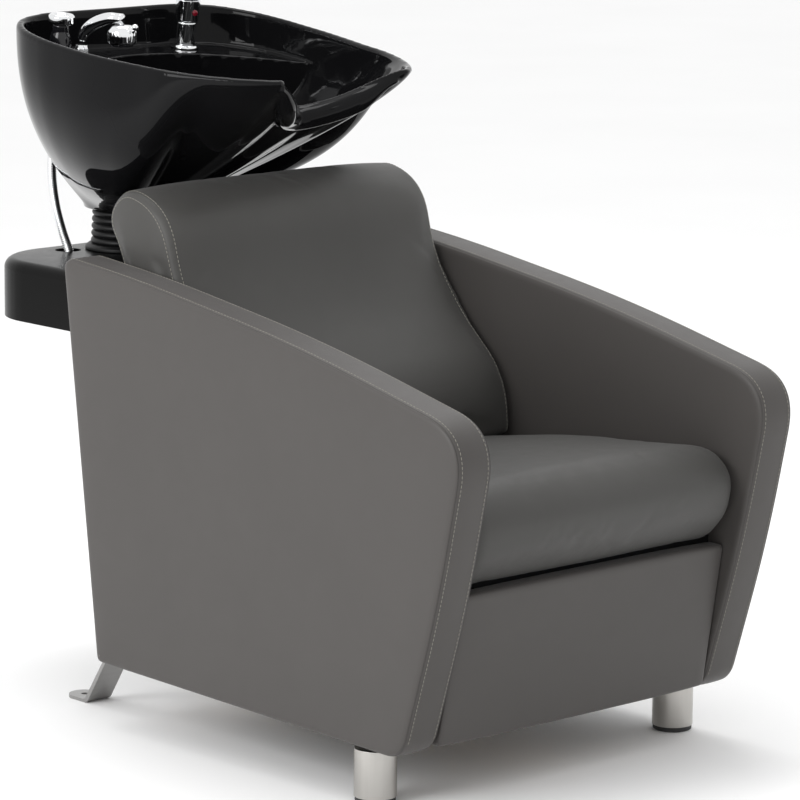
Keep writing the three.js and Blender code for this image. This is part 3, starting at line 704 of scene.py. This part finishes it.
# ---------------------------------------------------------------- feet
def feet():
    bore = LEG_R - 2.5
    low = GLIDE_TOP + 0.4
    tube_profile = soften([(bore, low), (LEG_R, low), (LEG_R, LEG_TOP), (bore, LEG_TOP)], 0.8)
    glide_profile = soften([(0, 0), (GLIDE_R - 2.1, 0), (GLIDE_R, 1.6), (GLIDE_R, GLIDE_TOP),
                            (27, GLIDE_TOP), (27, 20), (0, 20)], 0.6)
    for side, sign in SIDES:
        at = (sign * LEG_X, LEG_Y, 0)
        leg = lathe(f"leg_tube_{side}", tube_profile, BRUSHED, 96, at)
        seat_piece(leg, "chair", [f"leg_{side}"])
        glide = lathe(f"leg_glide_{side}", glide_profile, GLIDE, 72, at)
        seat_piece(glide, "chair", [f"glide_{side}"])


feet()


# ---------------------------------------------------------------- service shelf
def shelf_outline(inset, steps=14):
    """Plan of the shelf: square at the chair, with two large round corners at the rear."""
    half, rear, r = SHELF_HALF - inset, SHELF_REAR - inset, SHELF_CORNER - inset
    points = [(-half, SHELF_FRONT + inset), (half, SHELF_FRONT + inset)]
    for a in np.linspace(0, math.pi / 2, steps):
        points.append((half - r + r * math.cos(a), rear - r + r * math.sin(a)))
    for a in np.linspace(math.pi / 2, math.pi, steps):
        points.append((-half + r + r * math.cos(a), rear - r + r * math.sin(a)))
    return even_steps(points, 5.0)


def shelf_ring(inset, z):
    """The shelf's outline at a height, with the same point count at every inset."""
    count, flat = len(shelf_outline(0)), shelf_outline(inset)
    if len(flat) != count:
        fine = even_steps(flat, 1)
        flat = fine[np.linspace(0, len(fine), count, endpoint=False).astype(int)]
    return np.column_stack([flat, np.full(count, z)])


def shelf_dome(inset, top, edge, steps):
    """Rings round the shelf's rolled upper edge, from the side wall up to the top."""
    return [shelf_ring(inset + edge * (1 - math.cos(a)), top - edge * (1 - math.sin(a)))
            for a in np.linspace(0, math.pi / 2, steps)]


def service_shelf():
    low, high = SHELF_Z
    outside = [shelf_ring(0, low), shelf_ring(0, low + 0.5), *shelf_dome(0, high, SHELF_EDGE, 10),
               shelf_ring(60, high)]
    inside = [shelf_ring(SHELF_WALL, low - 20), shelf_ring(SHELF_WALL, low),
              *shelf_dome(SHELF_WALL, high - SHELF_WALL, SHELF_EDGE - SHELF_WALL, 8),
              shelf_ring(64, high - SHELF_WALL)]
    shell = skin("service_shelf_shell", outside, SHELF_PLASTIC)
    front = (SHELF_FRONT - 8, SHELF_FRONT + 12)
    boolean(shell, "DIFFERENCE", skin("tool", inside, None),
            block(PLATE_SLOT_X, front, PLATE_SLOT_Z), block(DRAIN_SLOT_X, front, DRAIN_SLOT_Z),
            cylinder(TOWER_HOLE_R, high - 40, high + 20, PIVOT[:2]),
            cylinder(HOSE_HOLE_R, high - 40, high + 20, HOSE_HOLE))
    shell.data.shade_smooth()
    shell.data.set_sharp_from_angle(angle=math.radians(40))
    seat_piece(shell, "chair", ["service_shelf"])


service_shelf()


# ---------------------------------------------------------------- basin
def rim_height(y):
    """Height of the rim, which rises from the neck to the rear."""
    return 946 + 0.045 * (y - 155) + 1.1e-4 * (y - 155) ** 2


def rim_ring(step=5.0):
    """The rim as a closed ring of points, dipping where the neck rests."""
    half = RIM_PLAN + NECK_PLAN
    curve = catmull(half + [(-x, y) for x, y in reversed(half[1:-1])], step, closed=True)
    start = RIM_PLAN[-1][0]
    inside = (curve[:, 1] < NECK_PLAN[-1][1] + 6) & (abs(curve[:, 0]) < start)
    across = np.minimum(abs(curve[:, 0]) / start, 1)
    dip = np.where(inside, NECK_DEPTH * (0.5 + 0.5 * np.cos(math.pi * across)) ** 0.7, 0)
    return np.column_stack([curve, rim_height(curve[:, 1]) - dip])


def smoothstep(low, high, values):
    u = np.clip((values - low) / (high - low), 0, 1)
    return u * u * (3 - 2 * u)


def inwards(ring, distance, towards=(0, 440)):
    """Moves each point of a ring towards the middle of the basin."""
    move = np.array(towards) - ring[:, :2]
    move *= distance / np.linalg.norm(move, axis=1)[:, None]
    return np.column_stack([ring[:, :2] + move, ring[:, 2]])


def wall_ring(rim, t, foot, radius, power):
    """The wall a fraction `t` of the way down to its foot; a higher power makes a fuller wall."""
    angle = np.arctan2(rim[:, 1] - foot[1], rim[:, 0] - foot[0])
    end = np.column_stack([foot[0] + radius * np.cos(angle), foot[1] + radius * np.sin(angle)])
    keep = (1 - t ** power)[:, None]
    return np.column_stack([end + (rim[:, :2] - end) * keep, rim[:, 2] + (foot[2] - rim[:, 2]) * t])


def near_neck(y):
    """1 under the neck, falling to 0 at the widest part of the basin."""
    return 1 - smoothstep(220, 400, y)


def outer_wall(rim, steps=np.linspace(0, 1, 40)):
    power = 3.9 - 2.65 * near_neck(rim[:, 1]) - 1.5 * smoothstep(430, 640, rim[:, 1])
    return [wall_ring(rim, t, FOOT, FOOT_R, power) for t in steps]


def inner_wall(rim, steps=np.linspace(0, 1, 40)):
    power = 2.8 - 1.6 * near_neck(rim[:, 1]) - 0.2 * smoothstep(430, 640, rim[:, 1])
    return [wall_ring(rim, t, BASIN_FLOOR, BASIN_FLOOR_R, power) for t in steps]


def deck_block(top, front, depth):
    """Block behind the deck's curved front edge, its top parallel to the sloping deck."""
    reach, rear = 260, 760
    edge = [(x, front - DECK_CURVE * x * x) for x in np.linspace(-reach, reach, 60)]
    outline = edge + [(reach, rear), (-reach, rear)]

    def ring(drop):
        return np.array([(x, y, top - drop + DECK_SLOPE * (y - 600)) for x, y in outline])

    return skin("tool", [ring(depth), ring(0)], None)


def neck_lip(edge):
    """Rolled lip under the edge that the neck rests on, thinning out into the rim at both ends."""
    path = catmull(edge, 4)
    along = np.linspace(0, 1, len(path))
    full = smoothstep(0.0, 0.2, along) * (1 - smoothstep(0.8, 1.0, along))
    path = path + np.column_stack([0 * full, 5 - 2 * full, -6.5 - 7.5 * full])
    return tube("tool", path, lambda t: LIP_END_R + (LIP_R - LIP_END_R) * np.interp(t, along, full), None, 32)


def deck():
    """The deck that the fittings stand on, hollow below."""
    obj = deck_block(DECK_Z, DECK_FRONT, 255)
    boolean(obj, "DIFFERENCE", deck_block(DECK_Z - DECK_THICK, DECK_FRONT + 10, 300))
    boolean(obj, "INTERSECT", skin("tool", list(reversed(outer_wall(inwards(rim_ring(), 4)))), None))
    return obj


def soften_surface(obj, voxel, iterations):
    """One even skin with all its edges softened, as a thick glaze leaves them."""
    remesh = obj.modifiers.new("remesh", "REMESH")
    remesh.mode, remesh.voxel_size = "VOXEL", voxel * MM
    apply_modifiers(obj)
    smooth = obj.modifiers.new("smooth", "SMOOTH")
    smooth.iterations, smooth.factor = iterations, 0.5
    apply_modifiers(obj)
    obj.data.shade_smooth()


def basin():
    rim = rim_ring()
    crest = [np.column_stack([inwards(rim, WALL / 2 * (1 - math.cos(a)))[:, :2], rim[:, 2] + 6 * math.sin(a)])
             for a in np.linspace(0, math.pi, 11)[1:-1]]
    rings = [*reversed(outer_wall(rim)), *crest, *inner_wall(inwards(rim, WALL))]
    bowl = skin("basin", rings, GLAZE)
    neck = rim[(rim[:, 1] < NECK_PLAN[-1][1] + 6) & (abs(rim[:, 0]) < RIM_PLAN[-1][0] + 1)]
    neck = neck[np.argsort(neck[:, 0])]
    boolean(bowl, "UNION", deck(), neck_lip(neck[::4]))
    boolean(bowl, "DIFFERENCE", block(*HOSE_PORT), cylinder(DRAIN_R, 700, 800, DRAIN))
    soften_surface(bowl, voxel=2, iterations=18)
    bowl.data.materials.clear()
    bowl.data.materials.append(GLAZE)
    seat_piece(bowl, "bowl", ["bowl"])


basin()


# ---------------------------------------------------------------- boot and hose
def boot():
    """Corrugated rubber boot round the tilt hinge, and the collar that holds its lower end."""
    x, y, _ = PIVOT
    ring = soften([(51, 640.4), (64, 640.4), (64, 645), (59, 649), (51, 649), (51, 640.4)], 1.2)
    seat_piece(lathe("boot_collar", ring, RUBBER, 96, (x, y, 0)), "chair", ["bellows_ring"])
    low, high = BOOT_Z
    heights = np.linspace(low, high, BOOT_FOLDS * 14 + 1)
    u = (heights - low) / (high - low)
    radius = 51.5 - 3 * u + 4.2 * np.abs(np.sin(math.pi * BOOT_FOLDS * u)) ** 0.7
    outside = list(zip(radius, heights))
    inside = [(r - 2.2, z) for r, z in reversed(outside)]
    obj = lathe("boot", [*outside, *inside, outside[0]], RUBBER, 96, (x, y, 0), sharp=80)
    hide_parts("bellows")
    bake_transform(obj)


def spray_hose():
    step = 0.6
    path = catmull(HOSE_PATH, step)
    turns = step * (len(path) - 1) / HOSE_PITCH
    obj = tube("spray_hose_tube", path, lambda t: HOSE_R + HOSE_RIB * math.cos(2 * math.pi * turns * t),
               CHROME, 28)
    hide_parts("spray_hose")
    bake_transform(obj)


boot()
spray_hose()


# ---------------------------------------------------------------- fittings on the deck
def deck_point(where, local=(0, 0, 0)):
    """A point given square to the deck, from the place where a fitting stands."""
    height = DECK_Z + DECK_SLOPE * (where[1] - 600) + 0.4
    return Matrix.Translation((*where, height)) @ LEANING @ Vector(local)


def on_deck(name, profile, where, node, material=CHROME, body="bowl", radius=1.0):
    """Turned fitting that stands on the deck in place of a CAD node."""
    obj = lathe(name, soften(profile, radius), material, 80, deck_point(where), LEANING)
    seat_piece(obj, body, [node])


def mixer_handle():
    """Flat lever that narrows towards its tip, drawn in (y, z) and rounded at both sides."""
    outline = rounded([(-14, 104.6, 8), (-93, 122, 2), (-92, 128, 4), (2, 118, 8), (16, 110, 3),
                       (16, 104.6, 2)], 2.0)
    normal = normals_of(outline)
    rings = []
    for x, inset in ((-10, 2.2), (-9.4, 1.4), (-8, 0.3), (-4, 0), (4, 0), (8, 0.3), (9.4, 1.4), (10, 2.2)):
        flat = outline - normal * inset
        narrowing = 1 - 0.25 * np.maximum(0, -flat[:, 0]) / 93
        rings.append(np.array([deck_point(FAUCET, (x * n, y, z)) for n, (y, z) in zip(narrowing, flat)]))
    seat_piece(skin("mixer_handle", rings, CHROME), "mixer_lever", ["mixer_lever"])


def mixer():
    on_deck("mixer_base", [(0.01, 0), (22, 0), (22, 2.2), (19.5, 5), (0.01, 5)], FAUCET, "mixer_flange")
    on_deck("mixer_column", [(0.01, 5.4), (15, 5.4), (15, 39), (14.2, 40), (14.2, 41.5), (17, 43.5),
                             (19.5, 76), (0.01, 76)], FAUCET, "mixer_body")
    on_deck("mixer_dome", [(0.01, 76.4), (19.5, 76.4), (20.5, 86), (17, 100), (10, 104), (0.01, 104)],
            FAUCET, "mixer_cap", body="mixer_cap", radius=5)
    mixer_handle()
    button = soften([(0.01, 0), (4.6, 0), (4.6, 1.2), (2.5, 2.2), (0.01, 2.4)], 0.4)
    facing = LEANING @ Matrix.Rotation(math.pi / 2, 4, "X")
    obj = lathe("mixer_index", button, RED_PLASTIC, 40, deck_point(FAUCET, (0, -18.4, 57)), facing)
    seat_piece(obj, "bowl", ["mixer_index_button"])


def vacuum_breaker():
    on_deck("breaker_bottle", [(0.01, 0), (17.5, 0), (17.5, 26), (15, 40), (12.5, 46), (12.5, 58),
                               (0.01, 58)], BREAKER, "breaker_body", DARK_PLASTIC, radius=3)
    on_deck("breaker_lid", [(0.01, 58.4), (18.5, 58.4), (19.7, 61), (19.7, 70), (17.5, 73), (12, 73),
                            (11, 71.5), (0.01, 71.5)], BREAKER, "breaker_cap")


def sprayer_collar():
    """Hose nut with a ribbed grip."""
    ribs = []
    for k in range(8):
        z = 8 + 14 * k / 8
        ribs += [(11, z), (11, z + 1.0), (10.3, z + 1.3), (10.3, z + 1.6)]
    on_deck("sprayer_collar", [(0.01, 8), *ribs, (11, 22), (8.5, 27), (0.01, 27)], HOLDER, "sprayer_nut",
            body="sprayer", radius=0.3)


def sprayer_head():
    """Spray head with shallow upright flutes round its waist."""
    x, y, z = HEAD
    profile = soften([(1, 0), (19, 0), (21.5, 3), (22.5, 12), (22, 20), (15, HEAD_HEIGHT - 2),
                      (1, HEAD_HEIGHT - 1)], 2.5)
    a = np.linspace(0, 2 * math.pi, HEAD_FLUTES * 6, endpoint=False)
    rings = []
    for r, height in profile:
        flute = 0.55 * smoothstep(2, 5, height) * (1 - smoothstep(17, 21, height))
        radius = r - flute * (1 + np.cos(a * HEAD_FLUTES)) / 2
        rings.append(np.column_stack([x + radius * np.cos(a), y + radius * np.sin(a),
                                      np.full(len(a), z + height)]))
    seat_piece(skin("sprayer_head_shell", rings, CHROME), "sprayer", ["sprayer_head"])


def sprayer_knob():
    """Ball knob of the flow valve, on a short stem."""
    x, y, z = HEAD
    at = (x + 2, y - 28, z + 27)
    ball = [(KNOB_R * math.sin(a), -KNOB_R * math.cos(a)) for a in np.linspace(0.002, math.pi - 0.002, 24)]
    knob = lathe("sprayer_flow_knob", ball, CHROME, 40, at, sharp=80)
    stem = tube("tool", [(x, y - 25.6, z + 18.4), (at[0], at[1], at[2] - 1)], 2.2, CHROME, 20)
    with bpy.context.temp_override(active_object=knob, selected_editable_objects=[knob, stem],
                                   selected_objects=[knob, stem], object=knob):
        bpy.ops.object.join()
    seat_piece(knob, "sprayer_knob", ["sprayer_knob"])


def grip_radius(t):
    """Radius of the sprayer's handle, fullest past its middle."""
    return 6.6 + 2.2 * math.sin(math.pi * min(1, t * 1.15)) + 2.0 * t


def sprayer():
    on_deck("hose_guide_ring", [(7.6, 0.2), (15, 0.2), (15, 4), (12, 7), (7.6, 7)], HOLDER, "hose_guide")
    sprayer_collar()
    handle = tube("sprayer_grip", catmull(SPRAYER_PATH, 1.5), grip_radius, CHROME, 40)
    seat_piece(handle, "sprayer", ["sprayer_handle"])
    sprayer_head()
    face = soften([(0.01, -3), (16.5, -3), (17.5, -0.4), (0.01, -0.4)], 0.6)
    rose = lathe("sprayer_rose", face, DARK_PLASTIC, 64, HEAD)
    seat_piece(rose, "sprayer", ["sprayer_face"])
    sprayer_knob()


mixer()
vacuum_breaker()
sprayer()


# ---------------------------------------------------------------- materials of the CAD nodes that stay
KEPT = {
    # the seat board's black lining is also painted shadow for the gap under the seat cushion
    SHADOW_GAP_LINING: ["seat_board"],
    PLYWOOD: ["back_board"],
    SOFTWOOD: ["front_rail", "rear_rail", "centre_rail"],
    POWDER: ["frame_post_left", "frame_post_right", "pedestal_plate", "pedestal_rib_left",
             "pedestal_rib_right", "tilt_yoke", "bowl_bracket"],
    BRUSHED_STRAP: ["rear_bracket_left", "rear_bracket_right"],
    ZINC: ["hinge_bolt_left", "hinge_bolt_right"],
    CHROME: ["drain_flange", "drain_strainer", "sprayer_tail_hose"],
    BRASS: ["mixer_nut"],
    PIPE: ["drain_tailpiece", "drain_hose"],
}
for material, names in KEPT.items():
    for name in names:
        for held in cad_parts[name].material_slots:
            held.material = material


# ---------------------------------------------------------------- stage and light
def stage():
    """Pale floor and plain white surroundings."""
    floor = Nodes("studio_floor")
    floor.tint(floor.noise(1.5, 2), (0.93, 0.93, 0.93), (0.97, 0.97, 0.97))
    floor.shader.inputs["Roughness"].default_value = 0.8
    size = 14.0
    sheet = new_object("floor", [(-size, -size, 0), (size, -size, 0), (size, size, 0), (-size, size, 0)],
                       [(0, 1, 2, 3)], floor.material)
    world = bpy.data.worlds.new("studio")
    world.use_nodes = True
    background = world.node_tree.nodes["Background"]
    background.inputs["Color"].default_value = (1, 1, 1, 1)
    background.inputs["Strength"].default_value = 1.0
    bpy.context.scene.world = world


def area_light(name, at, target, size, power):
    data = bpy.data.lights.new(name, "AREA")
    data.shape, data.size, data.size_y = "RECTANGLE", *size
    data.energy = power
    light = bpy.data.objects.new(name, data)
    light.location = at
    direction = Vector(target) - Vector(at)
    light.rotation_euler = direction.to_track_quat("-Z", "Y").to_euler()
    bpy.context.collection.objects.link(light)


stage()
area_light("key", (-3.4, 0.1, 1.9), (0, 0, 0.5), (1.8, 1.8), 62)
area_light("top", (0.4, 0.6, 3.6), (0, 0, 0.7), (2.4, 1.4), 40)
bpy.context.scene.view_settings.view_transform = "Standard"
